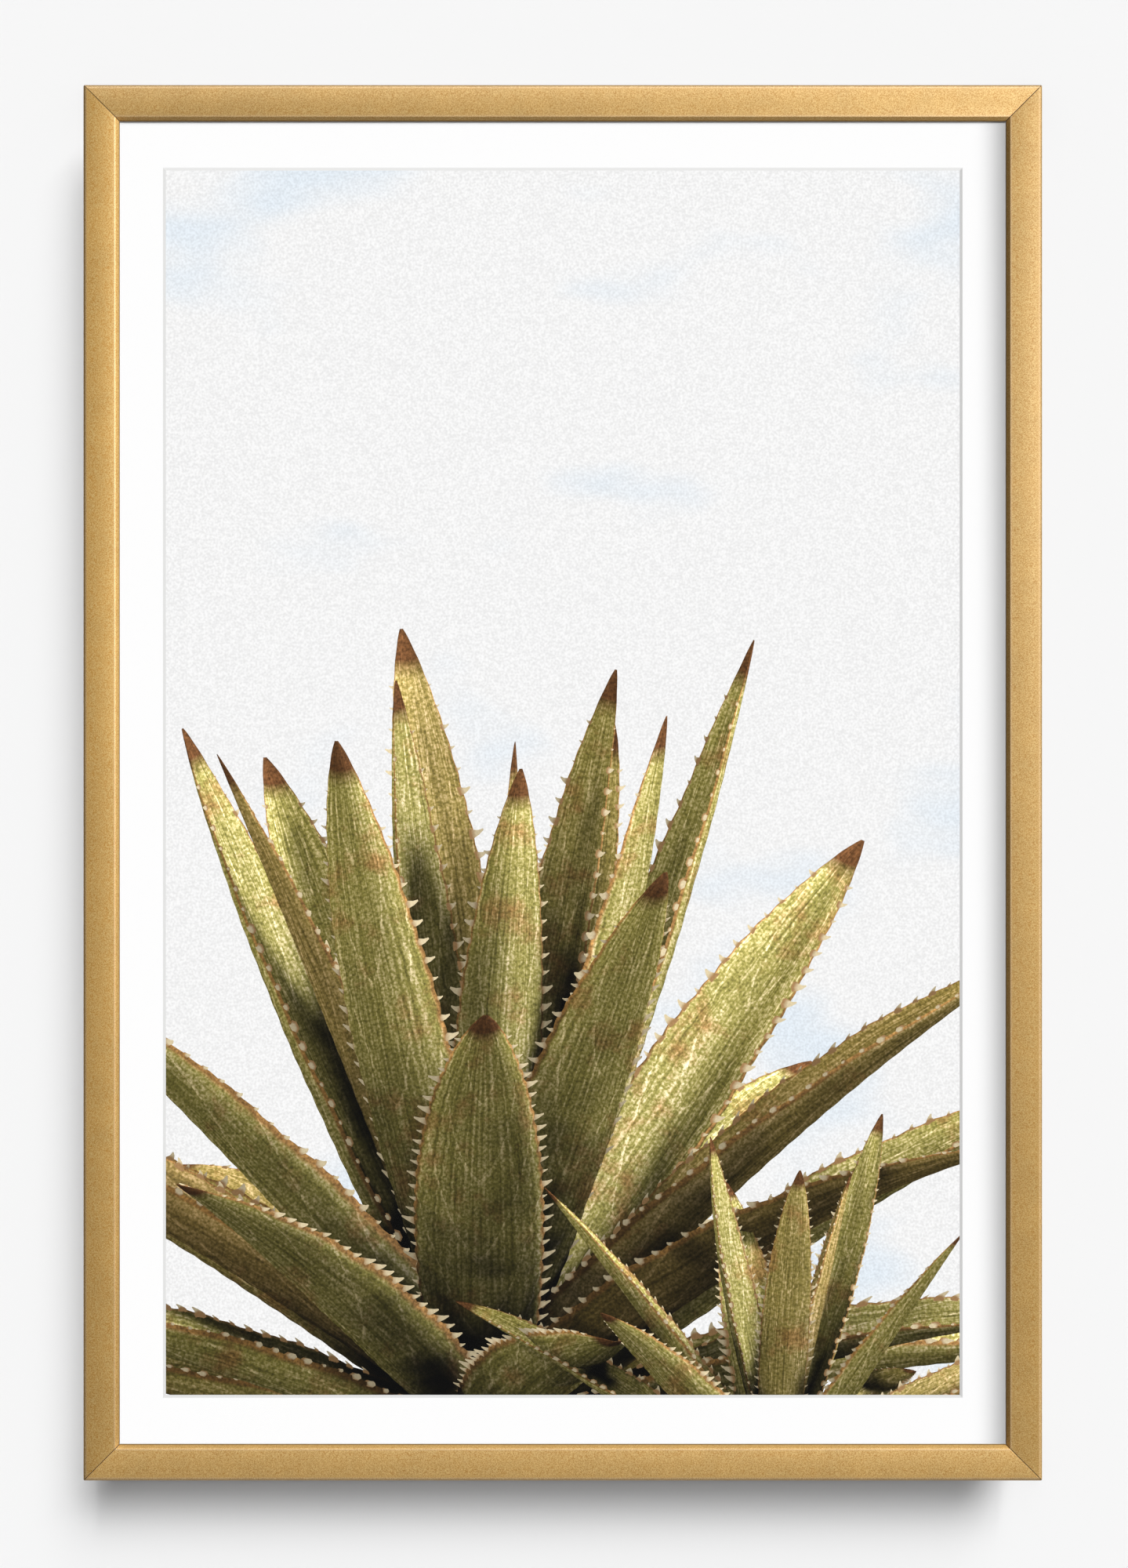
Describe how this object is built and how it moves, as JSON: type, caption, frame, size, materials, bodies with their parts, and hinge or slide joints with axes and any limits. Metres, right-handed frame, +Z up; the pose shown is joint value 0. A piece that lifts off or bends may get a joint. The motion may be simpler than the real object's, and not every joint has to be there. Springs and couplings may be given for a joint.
{
  "type": "framed picture",
  "caption": "Upright framed picture: gold mitred moulding, clear sheet, white window mat, plant print, hardboard back with bent tabs and a toothed hanger; hangs flat on a wall.",
  "frame": {"origin": "middle of the top moulding's rear face, on the wall", "axes": "+X to the viewer's right, +Y out of the back into the wall, +Z up; the picture faces -Y"},
  "size_m": [0.538, 0.022, 0.783],
  "materials": {
    "gold_lacquer": "satin metallic gold lacquer on a wood moulding, bare wood at the rear",
    "clear_acrylic": "clear, polished",
    "mat_board": "smooth matte white, bevel-cut white core",
    "print_paper": "matte art paper with fine grain",
    "hardboard": "pressed fibre, smooth pressed side out",
    "zinc_steel": "zinc-plated"
  },
  "bodies": {
    "root": {"rail_top": "gold_lacquer", "rail_right": "gold_lacquer", "rail_bottom": "gold_lacquer", "rail_left": "gold_lacquer", "tab_top_1": "zinc_steel", "tab_top_2": "zinc_steel", "tab_right_1": "zinc_steel", "tab_right_2": "zinc_steel", "tab_right_3": "zinc_steel", "tab_right_4": "zinc_steel", "tab_bottom_1": "zinc_steel", "tab_bottom_2": "zinc_steel", "tab_left_1": "zinc_steel", "tab_left_2": "zinc_steel", "tab_left_3": "zinc_steel", "tab_left_4": "zinc_steel", "corner_nail_top_right": "zinc_steel", "corner_nail_bottom_right": "zinc_steel", "corner_nail_bottom_left": "zinc_steel", "corner_nail_top_left": "zinc_steel", "glazing": "clear_acrylic", "mat": "mat_board", "print": "print_paper", "backing_board": "hardboard", "hanger": "zinc_steel", "rivet_left": "zinc_steel", "rivet_right": "zinc_steel"}
  },
  "joints": []
}
